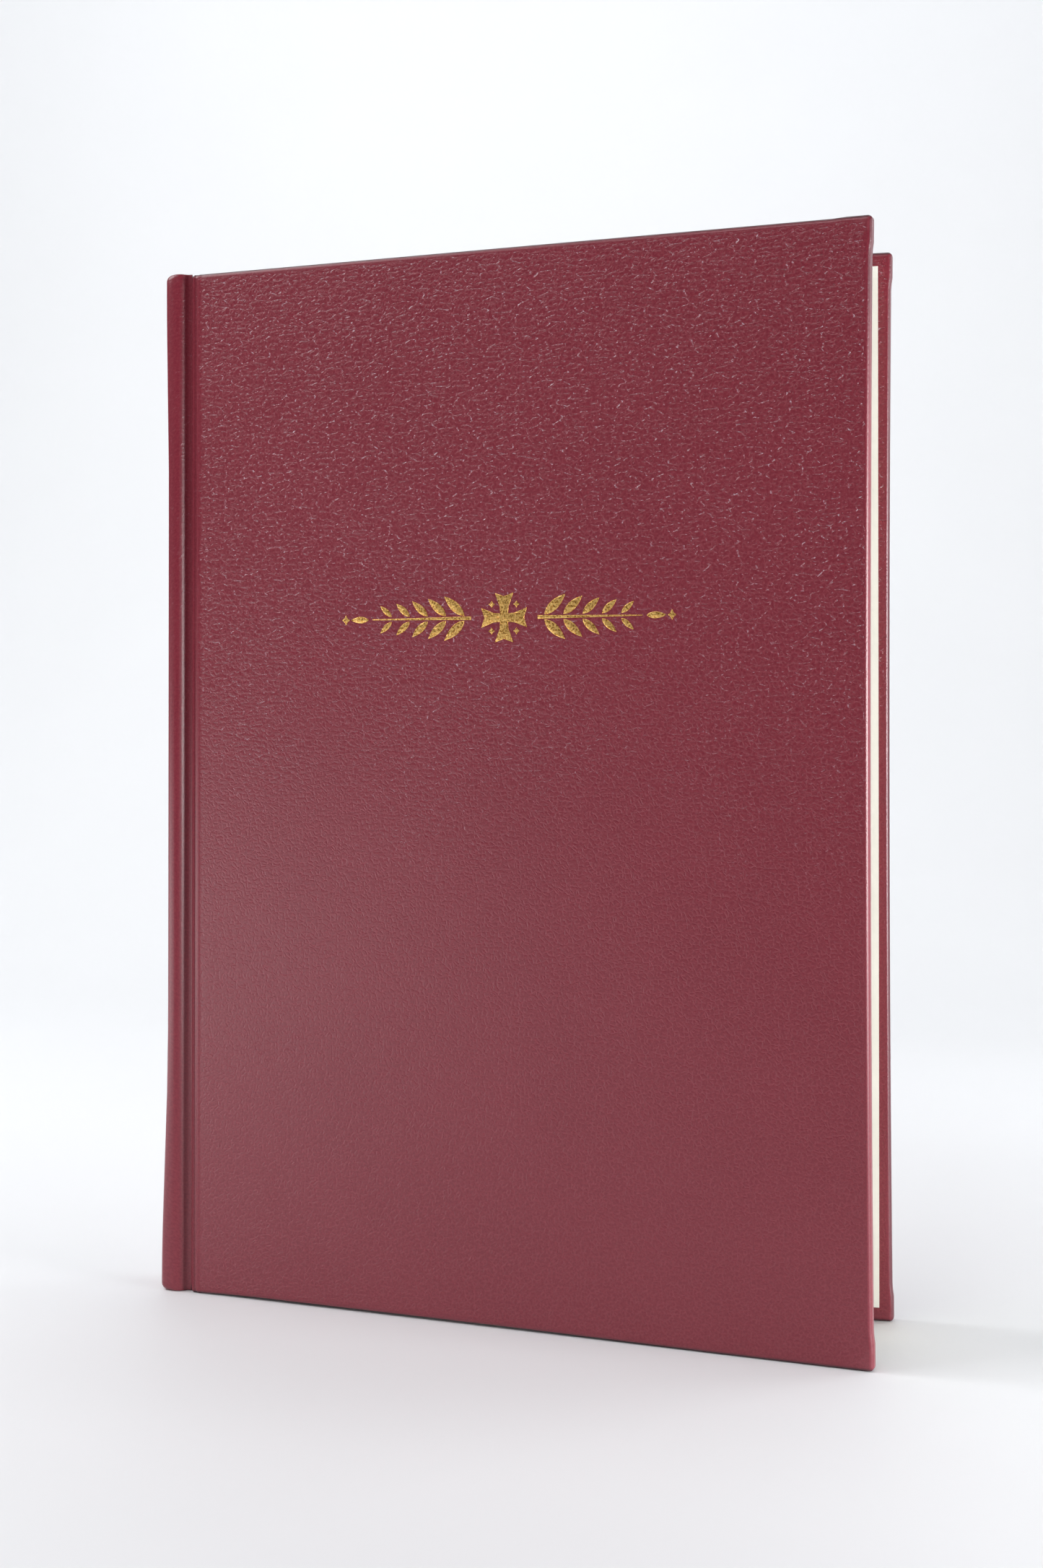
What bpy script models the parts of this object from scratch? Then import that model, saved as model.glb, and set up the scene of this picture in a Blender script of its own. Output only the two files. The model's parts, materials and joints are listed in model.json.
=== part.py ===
"""Slim hardcover prayer book: a leather case with a grooved joint beside each board.

Metres, +Z up. The book stands upright with its spine towards -X and its fore-edge towards +X.
The front cover faces -Y and is ajar. Every piece is laid out with the book closed, in a frame
whose origin is on the floor, halfway through the thickness, at the spine-side edge of the boards.
The hinge empties then swing the front cover and the gatherings open.
"""
import math

import bmesh
import bpy
from mathutils import Vector

MM = 0.001

# Case
CASE_HEIGHT = 240.0 * MM
CASE_THICKNESS = 16.0 * MM
COVER_WIDTH = 161.0 * MM
COVER_THICKNESS = 3.2 * MM
COVER_EDGE_RADIUS = 0.9 * MM
LEATHER = 0.6 * MM
TURN_IN_LEATHER = 0.4 * MM
TURN_IN_WIDTH = 15.0 * MM
GLUE_GAP = 0.1 * MM
PAPER_GAP = 0.05 * MM

# Spine and joints
SPINE_EDGE_X = -7.5 * MM
SPINE_BULGE = 0.7 * MM
INLAY_THICKNESS = 0.8 * MM
INLAY_HALF_WIDTH = 6.1 * MM
JOINT_HINGE_X = -3.25 * MM
JOINT_HINGE_Y = 5.9 * MM
BEFORE_HINGE = 0.62 * MM
AFTER_HINGE = 0.32 * MM

# Text block
SQUARE = 3.0 * MM
FORE_EDGE_SQUARE = 5.2 * MM
PAPER = 0.15 * MM
PASTEDOWN_MARGIN = 3.2 * MM
GATHERING_COUNT = 8
GATHERING_PITCH = 1.0875 * MM
GATHERING_TAPER = 6.0 * MM
FOLD_RADIUS = 0.25 * MM
FOLD_X = -2.2 * MM
TAPE_HEIGHTS = (60.0 * MM, 120.0 * MM, 180.0 * MM)
TAPE_WIDTH = 10.0 * MM
TAPE_THICKNESS = 0.25 * MM
KETTLE_INSET = 14.0 * MM
KETTLE_THREAD = 0.1 * MM
KETTLE_SLANT = 0.5 * MM
MULL_THICKNESS = 0.25 * MM
MULL_INSET = 12.0 * MM
LINING_THICKNESS = 0.3 * MM
LINING_INSET = 5.0 * MM
BAND_RADIUS = 0.75 * MM

# Gilt ornament on the front cover
ORNAMENT_CENTRE_X = 78.5 * MM
ORNAMENT_CENTRE_Z = 157.5 * MM
ORNAMENT_HALF_WIDTH = 40.0 * MM
ORNAMENT_HEIGHT = 11.0 * MM
FOIL = 0.12 * MM
FOIL_GAP = 0.02 * MM

# How far the front cover stands open, and how far each leaf follows a cover
FRONT_OPENING = math.radians(8.8)
FLYLEAF_SHARE = 0.40
FIRST_GATHERING_SHARE = 0.30

FRONT = -1
BACK = 1
MID_HEIGHT = CASE_HEIGHT / 2
HALF_THICKNESS = CASE_THICKNESS / 2
LEAF_END_X = COVER_WIDTH - FORE_EDGE_SQUARE
LEAF_HEIGHT = CASE_HEIGHT - 2 * SQUARE
INNER_FACE_Y = HALF_THICKNESS - COVER_THICKNESS


def clear_scene():
    for obj in list(bpy.data.objects):
        bpy.data.objects.remove(obj, do_unlink=True)


def new_collection(name):
    collection = bpy.data.collections.new(name)
    bpy.context.scene.collection.children.link(collection)
    return collection


def principled(name, colour, roughness, metallic=0.0):
    material = bpy.data.materials.new(name)
    material.use_nodes = True
    shader = material.node_tree.nodes["Principled BSDF"]
    shader.inputs["Base Color"].default_value = (*colour, 1.0)
    shader.inputs["Roughness"].default_value = roughness
    shader.inputs["Metallic"].default_value = metallic
    material.diffuse_color = (*colour, 1.0)
    return material


def leather(name):
    return principled(name, (0.215, 0.045, 0.062), 0.45)


def greyboard(name):
    return principled(name, (0.30, 0.27, 0.23), 0.9)


def page_paper(name):
    return principled(name, (0.90, 0.87, 0.78), 0.8)


def endpaper(name):
    return principled(name, (0.92, 0.90, 0.83), 0.75)


def gauze(name):
    return principled(name, (0.80, 0.77, 0.68), 0.9)


def linen(name):
    return principled(name, (0.74, 0.68, 0.55), 0.9)


def silk(name):
    return principled(name, (0.85, 0.82, 0.72), 0.5)


def gold_foil(name):
    return principled(name, (0.80, 0.56, 0.22), 0.3, 1.0)


def closed_position(obj):
    """World position of an empty while nothing has been swung open yet."""
    position = Vector((0.0, 0.0, 0.0))
    while obj:
        position += obj.location
        obj = obj.parent
    return position


def place(obj, pivot, at=(0.0, 0.0, 0.0)):
    obj.parent = pivot
    obj.location = Vector(at) - closed_position(pivot)
    return obj


def add_hinge(name, at, pivot):
    hinge = bpy.data.objects.new(name, None)
    hinge.empty_display_size = 0.01
    bpy.context.scene.collection.objects.link(hinge)
    return place(hinge, pivot, at)


def add_piece(name, data, make_material, pivot, at=(0.0, 0.0, 0.0)):
    piece = bpy.data.objects.new(name, data)
    parts.objects.link(piece)
    piece.data.materials.append(make_material(name))
    return place(piece, pivot, at)


def box_mesh(name, size):
    mesh = bpy.data.meshes.new(name)
    bm = bmesh.new()
    bmesh.ops.create_cube(bm, size=1.0)
    bmesh.ops.scale(bm, vec=size, verts=bm.verts)
    bm.to_mesh(mesh)
    bm.free()
    return mesh


def between(low, high):
    """Size and centre of the box between two corners."""
    size = tuple(b - a for a, b in zip(low, high))
    centre = tuple((a + b) / 2 for a, b in zip(low, high))
    return size, centre


def side_box(side, x_range, depth_range, z_range):
    """Low and high corners of a box on one side, with depths counted from the middle plane."""
    near, far = sorted(side * depth for depth in depth_range)
    return (x_range[0], near, z_range[0]), (x_range[1], far, z_range[1])


def add_box(name, corners, make_material, pivot):
    size, centre = between(*corners)
    return add_piece(name, box_mesh(name, size), make_material, pivot, centre)


def cut_box(target, name, corners, pivot):
    """Cut a box-shaped pocket out of a piece."""
    size, centre = between(*corners)
    cutter = bpy.data.objects.new(name, box_mesh(name, size))
    cutters.objects.link(cutter)
    cutter.hide_render = True
    cutter.display_type = "WIRE"
    place(cutter, pivot, centre)
    boolean = target.modifiers.new(name, "BOOLEAN")
    boolean.operation = "DIFFERENCE"
    boolean.solver = "EXACT"
    boolean.object = cutter


def round_edges(obj, width, segments):
    bevel = obj.modifiers.new("rounded_edges", "BEVEL")
    bevel.width = width
    bevel.segments = segments


def smooth_path(points, steps=4):
    """Catmull-Rom curve through the points."""
    ends = [points[0], *points, points[-1]]
    path = []
    for a, b, c, d in zip(ends, ends[1:], ends[2:], ends[3:]):
        for step in range(steps):
            t = step / steps
            path.append(tuple(
                0.5 * (2 * q + (r - p) * t + (2 * p - 5 * q + 4 * r - s) * t ** 2
                       + (3 * q - p - 3 * r + s) * t ** 3)
                for p, q, r, s in zip(a, b, c, d)))
    path.append(tuple(points[-1]))
    return path


def bent_sheet(name, path, z_range, thickness, make_material, pivot):
    """A sheet that follows a plan-view path, upright between two heights."""
    mesh = bpy.data.meshes.new(name)
    bm = bmesh.new()
    corners = [bm.verts.new((x, y, z_range[0])) for x, y in path]
    edges = [bm.edges.new(pair) for pair in zip(corners, corners[1:])]
    raised = bmesh.ops.extrude_edge_only(bm, edges=edges)["geom"]
    top = [item for item in raised if isinstance(item, bmesh.types.BMVert)]
    bmesh.ops.translate(bm, vec=(0.0, 0.0, z_range[1] - z_range[0]), verts=top)
    bmesh.ops.recalc_face_normals(bm, faces=bm.faces)
    bm.to_mesh(mesh)
    bm.free()
    sheet = add_piece(name, mesh, make_material, pivot)
    solidify = sheet.modifiers.new("thickness", "SOLIDIFY")
    solidify.thickness = thickness
    solidify.offset = 0.0
    return sheet


def outline_curve(name, outline, thickness):
    """A flat outline with a thickness, centred on its own plane."""
    curve = bpy.data.curves.new(name, "CURVE")
    curve.dimensions = "2D"
    curve.fill_mode = "BOTH"
    curve.extrude = thickness / 2
    spline = curve.splines.new("POLY")
    spline.points.add(len(outline) - 1)
    for point, (u, v) in zip(spline.points, outline):
        point.co = (u, v, 0.0, 1.0)
    spline.use_cyclic_u = True
    return curve


def wire_curve(name, points, radius):
    curve = bpy.data.curves.new(name, "CURVE")
    curve.dimensions = "3D"
    curve.bevel_depth = radius
    curve.bevel_resolution = 2
    curve.use_fill_caps = True
    spline = curve.splines.new("POLY")
    spline.points.add(len(points) - 1)
    for point, co in zip(spline.points, points):
        point.co = (*co, 1.0)
    return curve


def back_arc(edge_x, bulge, half_width, segments=12):
    """Plan-view arc from the front side to the back side, bulging towards -X."""
    radius = (half_width ** 2 + bulge ** 2) / (2 * bulge)
    reach = math.asin(half_width / radius)
    centre_x = edge_x - bulge + radius
    angles = [reach * (2 * i / segments - 1) for i in range(segments + 1)]
    return [(centre_x - radius * math.cos(a), radius * math.sin(a)) for a in angles]


def mirrored(half_path, middle):
    """A path of the front half, a middle stretch, and the front half's mirror image."""
    other_half = [(x, -y) for x, y in reversed(half_path)]
    return half_path + middle + other_half


def build_spine_leather(book):
    leather_y = HALF_THICKNESS - LEATHER / 2
    shoulder = smooth_path([
        (JOINT_HINGE_X - BEFORE_HINGE, -JOINT_HINGE_Y),
        (JOINT_HINGE_X - 1.1 * MM, -JOINT_HINGE_Y - 0.75 * MM),
        (JOINT_HINGE_X - 1.8 * MM, -leather_y + 0.22 * MM),
        (JOINT_HINGE_X - 2.8 * MM, -leather_y),
        (SPINE_EDGE_X + 0.35 * MM, -leather_y + 0.35 * MM),
    ])
    corner_y = leather_y - 1.2 * MM
    back = back_arc(SPINE_EDGE_X, SPINE_BULGE, corner_y)
    path = mirrored(shoulder, back)
    bent_sheet("spine_leather", path, (0.0, CASE_HEIGHT), LEATHER, leather, book)


def build_spine_inside(book):
    inlay_x = SPINE_EDGE_X + LEATHER / 2 + GLUE_GAP + INLAY_THICKNESS / 2
    bent_sheet(
        "spine_inlay", back_arc(inlay_x, SPINE_BULGE, INLAY_HALF_WIDTH),
        (SQUARE, CASE_HEIGHT - SQUARE), INLAY_THICKNESS, greyboard, book)
    half = GATHERING_COUNT * GATHERING_PITCH / 2
    layer_x = FOLD_X - FOLD_RADIUS - PAPER_GAP
    for number, height in enumerate(TAPE_HEIGHTS, start=1):
        corners = ((layer_x - TAPE_THICKNESS, -half, height - TAPE_WIDTH / 2),
                   (layer_x, half, height + TAPE_WIDTH / 2))
        add_box(f"sewing_tape_{number}", corners, linen, book)
    build_kettle_stitches(book, layer_x, half)
    layer_x -= TAPE_THICKNESS + PAPER_GAP
    corners = ((layer_x - MULL_THICKNESS, -half, MULL_INSET),
               (layer_x, half, CASE_HEIGHT - MULL_INSET))
    add_box("mull_gauze", corners, gauze, book)
    layer_x -= MULL_THICKNESS + PAPER_GAP
    corners = ((layer_x - LINING_THICKNESS, -half, LINING_INSET),
               (layer_x, half, CASE_HEIGHT - LINING_INSET))
    add_box("spine_lining_paper", corners, endpaper, book)


def build_kettle_stitches(book, layer_x, half):
    heights = {"head": CASE_HEIGHT - SQUARE - KETTLE_INSET, "tail": SQUARE + KETTLE_INSET}
    for end, height in heights.items():
        name = f"kettle_stitch_{end}"
        count = 2 * GATHERING_COUNT
        points = []
        for i in range(count + 1):
            across = half * (2 * i / count - 1)
            slant = KETTLE_SLANT * (-1) ** i
            points.append((0.0, across, slant))
        at = (layer_x - KETTLE_THREAD, 0.0, height)
        add_piece(name, wire_curve(name, points, KETTLE_THREAD), linen, book, at)


def build_bands(book):
    half = GATHERING_COUNT * GATHERING_PITCH / 2
    clear = BAND_RADIUS + PAPER_GAP
    heights = {"headband": CASE_HEIGHT - SQUARE + clear, "tailband": SQUARE - clear}
    for name, height in heights.items():
        points = [(0.0, half * (2 * i / 8 - 1), 0.0) for i in range(9)]
        at = (FOLD_X - FOLD_RADIUS, 0.0, height)
        add_piece(name, wire_curve(name, points, BAND_RADIUS), silk, book, at)


def build_joint_strip(side, name, hinge):
    """The leather and the endpaper that cross the groove between the spine and a board."""
    leather_y = HALF_THICKNESS - LEATHER / 2
    groove = smooth_path([
        (JOINT_HINGE_X + AFTER_HINGE, side * (JOINT_HINGE_Y - 0.02 * MM)),
        (JOINT_HINGE_X + 0.85 * MM, side * (JOINT_HINGE_Y - 0.08 * MM)),
        (JOINT_HINGE_X + 1.75 * MM, side * (JOINT_HINGE_Y + 0.10 * MM)),
        (JOINT_HINGE_X + 2.45 * MM, side * (JOINT_HINGE_Y + 0.80 * MM)),
        (JOINT_HINGE_X + 2.85 * MM, side * (leather_y - 0.25 * MM)),
    ])
    bent_sheet(f"{name}_joint_leather", groove, (0.0, CASE_HEIGHT), LEATHER, leather, hinge)
    paper = smooth_path([
        (JOINT_HINGE_X + 0.7 * MM, side * (INNER_FACE_Y + 0.35 * MM)),
        (JOINT_HINGE_X + 1.9 * MM, side * (INNER_FACE_Y + 0.25 * MM)),
        (-0.15 * MM, side * (INNER_FACE_Y + 0.1 * MM)),
    ])
    z_range = (PASTEDOWN_MARGIN, CASE_HEIGHT - PASTEDOWN_MARGIN)
    bent_sheet(f"{name}_endpaper_joint", paper, z_range, PAPER, endpaper, hinge)


def build_cover(side, name, hinge):
    """Board in a leather skin that is turned in round three edges, under a pastedown."""
    heights = (0.0, CASE_HEIGHT)
    skin_box = side_box(side, (0.0, COVER_WIDTH), (INNER_FACE_Y, HALF_THICKNESS), heights)
    skin = add_box(f"{name}_cover_leather", skin_box, leather, hinge)
    round_edges(skin, COVER_EDGE_RADIUS, 2)
    past_joint = -5.0 * MM
    board_end_x = COVER_WIDTH - LEATHER - GLUE_GAP
    board_z = (LEATHER + GLUE_GAP, CASE_HEIGHT - LEATHER - GLUE_GAP)
    board_depth = (INNER_FACE_Y + TURN_IN_LEATHER + GLUE_GAP,
                   HALF_THICKNESS - LEATHER - GLUE_GAP)
    pocket = side_box(
        side, (past_joint, board_end_x + GLUE_GAP),
        (board_depth[0] - GLUE_GAP, board_depth[1] + GLUE_GAP),
        (board_z[0] - GLUE_GAP, board_z[1] + GLUE_GAP))
    cut_box(skin, f"{name}_board_pocket", pocket, hinge)
    window = side_box(
        side, (past_joint, COVER_WIDTH - TURN_IN_WIDTH),
        (INNER_FACE_Y - 1.0 * MM, board_depth[0]),
        (TURN_IN_WIDTH, CASE_HEIGHT - TURN_IN_WIDTH))
    cut_box(skin, f"{name}_turn_in_window", window, hinge)
    board_box = side_box(side, (0.35 * MM, board_end_x), board_depth, board_z)
    add_box(f"{name}_board", board_box, greyboard, hinge)
    outer = INNER_FACE_Y - PAPER_GAP
    sheet_box = side_box(
        side, (0.3 * MM, COVER_WIDTH - PASTEDOWN_MARGIN), (outer - PAPER, outer),
        (PASTEDOWN_MARGIN, CASE_HEIGHT - PASTEDOWN_MARGIN))
    add_box(f"{name}_pastedown", sheet_box, endpaper, hinge)


def build_flyleaf(side, name, book):
    """A free endpaper on its own fold."""
    depth = INNER_FACE_Y - 2 * PAPER_GAP - 1.5 * PAPER
    hinge = add_hinge(f"{name}_flyleaf_hinge", (FOLD_X, side * depth, 0.0), book)
    corners = side_box(
        side, (FOLD_X, LEAF_END_X), (depth - PAPER / 2, depth + PAPER / 2),
        (SQUARE, CASE_HEIGHT - SQUARE))
    add_box(f"{name}_flyleaf", corners, endpaper, hinge)
    return hinge


def gathering_outline():
    """Plan view about the fold: a round fold, a taper, and parallel sides to the fore-edge."""
    half = (GATHERING_PITCH - PAPER_GAP) / 2
    length = LEAF_END_X - FOLD_X
    steps = 6
    fold = []
    for i in range(steps + 1):
        angle = math.pi / 2 + math.pi * i / steps
        fold.append((FOLD_RADIUS * math.cos(angle), FOLD_RADIUS * math.sin(angle)))
    return fold + [(GATHERING_TAPER, -half), (length, -half), (length, half),
                   (GATHERING_TAPER, half)]


def gathering_depth(index):
    """Where a gathering's fold lies through the thickness; the first is next to the front."""
    return (index - (GATHERING_COUNT - 1) / 2) * GATHERING_PITCH


def gathering_share(index):
    """How much of the front cover's turn a gathering follows, so that the leaves fan out."""
    return FIRST_GATHERING_SHARE * (1 - index / GATHERING_COUNT)


def build_gatherings(book):
    hinges = []
    for index in range(GATHERING_COUNT):
        name = f"gathering_{index + 1}"
        fold_at = (FOLD_X, gathering_depth(index), 0.0)
        hinge = add_hinge(f"{name}_hinge", fold_at, book)
        curve = outline_curve(name, gathering_outline(), LEAF_HEIGHT)
        add_piece(name, curve, page_paper, hinge, (*fold_at[:2], MID_HEIGHT))
        hinges.append(hinge)
    return hinges


def cross_outline(height):
    """A plain cross with arms that widen a little towards their ends."""
    reach = height / 2
    end = 0.16 * height
    waist = 0.07 * height
    arm = [(waist, waist), (end, reach), (-end, reach)]
    outline = []
    for quarter in range(4):
        turn = quarter * math.pi / 2
        for u, v in arm:
            outline.append((u * math.cos(turn) - v * math.sin(turn),
                            u * math.sin(turn) + v * math.cos(turn)))
    return outline


def spray_outline(length, height):
    """A tapering row of three leaf-shaped swellings, pointed at both ends."""
    steps = 36
    stem = 0.25 * MM
    upper = []
    for i in range(1, steps):
        along = i / steps
        swelling = abs(math.sin(3 * math.pi * along)) ** 1.3
        upper.append((length * along, stem + 0.5 * height * swelling * (1 - 0.55 * along)))
    lower = [(u, -v) for u, v in reversed(upper)]
    return [(0.0, 0.0)] + upper + [(length, 0.0)] + lower


def build_ornament(hinge):
    """Gold foil on the front cover: a cross between two leafy sprays."""
    depth = HALF_THICKNESS + FOIL_GAP + FOIL / 2
    gap = 8.0 * MM
    length = ORNAMENT_HALF_WIDTH - gap
    shapes = {
        "gilt_cross": (cross_outline(ORNAMENT_HEIGHT), 0.0, 1),
        "gilt_left_spray": (spray_outline(length, 0.55 * ORNAMENT_HEIGHT), -gap, -1),
        "gilt_right_spray": (spray_outline(length, 0.55 * ORNAMENT_HEIGHT), gap, 1),
    }
    for name, (outline, shift, facing) in shapes.items():
        outline = [(facing * u, v) for u, v in outline]
        at = (ORNAMENT_CENTRE_X + shift, -depth, ORNAMENT_CENTRE_Z)
        curve = outline_curve(name, outline, FOIL)
        piece = add_piece(name, curve, gold_foil, hinge, at)
        piece.rotation_euler = (math.pi / 2, 0.0, 0.0)


def add_cover_hinges(side, name, book):
    """Two axes per cover: one at the foot of the spine's shoulder, one at the board's edge."""
    at = (JOINT_HINGE_X, side * JOINT_HINGE_Y, 0.0)
    joint_hinge = add_hinge(f"{name}_joint_hinge", at, book)
    at = (0.0, side * (HALF_THICKNESS - LEATHER / 2), 0.0)
    cover_hinge = add_hinge(f"{name}_cover_hinge", at, joint_hinge)
    return joint_hinge, cover_hinge


def build_side(side, name, book):
    joint_hinge, cover_hinge = add_cover_hinges(side, name, book)
    build_joint_strip(side, name, joint_hinge)
    build_cover(side, name, cover_hinge)
    flyleaf_hinge = build_flyleaf(side, name, book)
    return joint_hinge, cover_hinge, flyleaf_hinge


def swing(hinge, angle):
    """Turn a hinge towards the front; the front cover opens clockwise seen from above."""
    hinge.rotation_euler = (0.0, 0.0, -angle)


def stand_on_origin(book):
    """Move the book so that its box has the origin at the middle of its base."""
    bpy.context.view_layer.update()
    depsgraph = bpy.context.evaluated_depsgraph_get()
    corners = []
    for piece in parts.objects:
        shape = piece.evaluated_get(depsgraph)
        mesh = shape.to_mesh()
        corners += [shape.matrix_world @ vertex.co for vertex in mesh.vertices]
        shape.to_mesh_clear()
    low = [min(corner[i] for corner in corners) for i in range(3)]
    high = [max(corner[i] for corner in corners) for i in range(3)]
    book.location = (-(low[0] + high[0]) / 2, -(low[1] + high[1]) / 2, -low[2])
    bpy.context.view_layer.update()


def build():
    book = add_hinge("book_origin", (0.0, 0.0, 0.0), None)
    build_spine_leather(book)
    build_spine_inside(book)
    build_bands(book)
    joint_hinge, cover_hinge, flyleaf_hinge = build_side(FRONT, "front", book)
    build_side(BACK, "back", book)
    build_ornament(cover_hinge)
    gathering_hinges = build_gatherings(book)
    swing(joint_hinge, FRONT_OPENING / 2)
    swing(cover_hinge, FRONT_OPENING / 2)
    swing(flyleaf_hinge, FRONT_OPENING * FLYLEAF_SHARE)
    for index, hinge in enumerate(gathering_hinges):
        swing(hinge, FRONT_OPENING * gathering_share(index))
    stand_on_origin(book)


clear_scene()
parts = new_collection("prayer_book")
cutters = new_collection("cutters")
build()
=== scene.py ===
"""Looks of the slim leather prayer book: skin, paper, gilding, materials, light and camera.

Shapes are worked out for the closed book, in a frame whose origin is on the floor, halfway through
the thickness, at the spine-side edge of the boards. rest_case() and rest_leaf() then carry each
point to where the half-open book stands at rest, turning about the CAD model's own hinges.
"""
import json
import math

import bmesh
import bpy
import numpy as np
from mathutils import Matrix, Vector

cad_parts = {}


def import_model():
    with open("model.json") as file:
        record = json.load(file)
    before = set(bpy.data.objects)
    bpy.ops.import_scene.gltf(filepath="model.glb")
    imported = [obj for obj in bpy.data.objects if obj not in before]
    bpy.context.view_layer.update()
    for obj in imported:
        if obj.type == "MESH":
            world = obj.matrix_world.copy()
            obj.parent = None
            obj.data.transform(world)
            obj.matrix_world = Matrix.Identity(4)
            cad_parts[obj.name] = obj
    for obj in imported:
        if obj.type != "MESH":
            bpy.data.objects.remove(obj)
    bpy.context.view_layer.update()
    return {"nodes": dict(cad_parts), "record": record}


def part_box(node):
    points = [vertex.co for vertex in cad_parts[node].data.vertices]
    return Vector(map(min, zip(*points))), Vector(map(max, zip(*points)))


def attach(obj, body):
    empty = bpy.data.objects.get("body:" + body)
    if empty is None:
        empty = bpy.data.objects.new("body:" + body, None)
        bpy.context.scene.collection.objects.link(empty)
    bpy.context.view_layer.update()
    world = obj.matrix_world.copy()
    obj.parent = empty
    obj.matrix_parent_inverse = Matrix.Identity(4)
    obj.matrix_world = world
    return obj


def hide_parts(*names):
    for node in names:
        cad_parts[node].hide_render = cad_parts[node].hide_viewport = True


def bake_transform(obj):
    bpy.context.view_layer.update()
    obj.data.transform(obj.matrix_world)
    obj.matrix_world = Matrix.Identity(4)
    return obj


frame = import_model()

MM = 0.001
FRONT = -1
BACK = 1
NAMES = {FRONT: "front", BACK: "back"}

# ---------------------------------------------------------------- sizes read from the frame

joints = {joint["name"]: joint for joint in frame["record"]["behaviour"]["joints"]}
spine_low, spine_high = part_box("spine_leather")
cover_low, cover_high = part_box("back_cover_leather")
leaf_low, leaf_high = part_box("back_flyleaf")
paste_low, paste_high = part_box("back_pastedown")

ORIGIN = Vector((joints["back_cover_hinge"]["pos_m"][0], (spine_low.y + spine_high.y) / 2, 0.0))
HALF = (spine_high.y - spine_low.y) / 2
HEIGHT = cover_high.z
WIDTH = cover_high.x - ORIGIN.x
COVER_THICKNESS = cover_high.y - cover_low.y
INNER = HALF - COVER_THICKNESS
SPINE_BACK = spine_low.x - ORIGIN.x
LEAF_END = leaf_high.x - ORIGIN.x
LEAF_BASE = leaf_low.z
LEAF_TOP = leaf_high.z
MARGIN = paste_low.z
GATHERINGS = sum(name.startswith("gathering_") for name in frame["nodes"])


def hinge_place(name):
    """A hinge's place in the closed book's frame, as x and y."""
    place = Vector(joints[name]["pos_m"]) - ORIGIN
    return np.array([place.x, place.y])


def rest_turn(name):
    """How far a hinge already stands open at rest, in radians."""
    return -math.radians(joints[name]["range_deg"][0])


JOINT_HINGE = hinge_place("back_joint_hinge")
COVER_HINGE = hinge_place("back_cover_hinge")

# Sizes that the CAD model doesn't carry
EDGE_RADIUS = 1.1 * MM
ROUND_STEPS = 6
SKIN = 0.3 * MM
TURN_IN = 15.0 * MM
GROOVE_X = -2.1 * MM
GROOVE_DEPTH = 1.8 * MM

# Where a piece bends about the joint's, the cover's and a leaf's hinge, from x to x
JOINT_BEND = (-3.7 * MM, -2.5 * MM)
COVER_BEND = (-1.3 * MM, 1.3 * MM)
LEAF_BEND = 12.0 * MM

# Handwork: the fore-edge stands back, its corners are thick, and the spine swells and stands proud
FORE_EDGE_HOLLOW = 0.60 * MM
CORNER_FOLD = 0.28 * MM
TAIL_LIFT = 0.45 * MM
HEAD_SINK = 0.16 * MM
TAIL_FLARE = 1.5 * MM
HEAD_FLARE = 0.55 * MM
HEAD_RISE = 0.3 * MM
HALVES_OVERLAP = 0.04 * MM

PASTED_LIFT = 0.12 * MM
PASTED_THICKNESS = 0.15 * MM
TURN_IN_DIP = 0.28 * MM
FLYLEAF_THICKNESS = 0.13 * MM
SHEETS = 6
FOIL_LIFT = 0.035 * MM
FOIL_RIM = 0.08 * MM

# The camera's place in the closed book's frame, turn in degrees, lens in millimetres, and shift
CAMERA_PLACE = (187.7 * MM, -476.4 * MM, 136.6 * MM)
CAMERA_TURN = (90.45, 0.0, 13.125)
CAMERA_LENS = 48.624
CAMERA_SHIFT = (0.0, -0.0566)

# The stage: the floor's near edge, the backdrop's depth, both sides, the curve between and the top
STAGE_NEAR, STAGE_FAR, STAGE_SIDE, STAGE_BEND, STAGE_TOP = -1.0, 1.15, 1.2, 0.7, 2.2

# Each light's name, place, target, size and power
BOOK_MIDDLE, BOOK_FOOT = (0.0, 0.0, 0.12), (0.0, 0.0, 0.065)
LIGHTS = [
    ("left_softbox", (-0.752, -0.274, 0.80), BOOK_MIDDLE, (0.8, 0.5), 5.4),
    ("front_softbox", (-0.194, -0.724, 0.95), (0.0, 0.0, 0.20), (0.5, 0.3), 2.3),
    ("right_strip", (0.873, -0.218, 0.14), (0.08, 0.0, 0.14), (0.5, 0.2), 9.5),
    ("right_floor", (0.50, 0.25, 0.35), (0.25, 0.0, 0.0), (0.3, 0.3), 0.8),
    ("low_strip", (-0.344, -0.241, 0.05), BOOK_FOOT, (0.35, 0.09), 0.22),
    ("low_fill", (-0.489, -0.104, 0.065), BOOK_FOOT, (0.4, 0.12), 0.28),
    ("backdrop_wash", (0.0, 0.10, 1.20), (0.0, 1.15, 0.30), (2.0, 0.5), 3.4),
    ("backdrop_left", (-0.70, 0.10, 1.00), (-0.50, 1.15, 0.40), (0.8, 0.5), 5.4),
    ("backdrop_top", (0.0, 0.50, 2.00), (0.0, 1.15, 1.00), (2.0, 0.4), 6.6),
]
WORLD_LIGHT = 0.01
WORLD_SEEN = 0.6


# ---------------------------------------------------------------- carrying points to rest

def ramp(value, start, end):
    t = np.clip((value - start) / (end - start), 0.0, 1.0)
    return t * t * (3.0 - 2.0 * t)


def turned(points, pivot, angles):
    """Points turned clockwise, seen from above, about a vertical axis."""
    cos, sin = np.cos(angles), np.sin(angles)
    x, y = points[:, 0] - pivot[0], points[:, 1] - pivot[1]
    return np.column_stack((pivot[0] + x * cos + y * sin, pivot[1] - x * sin + y * cos,
                            points[:, 2]))


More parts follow.
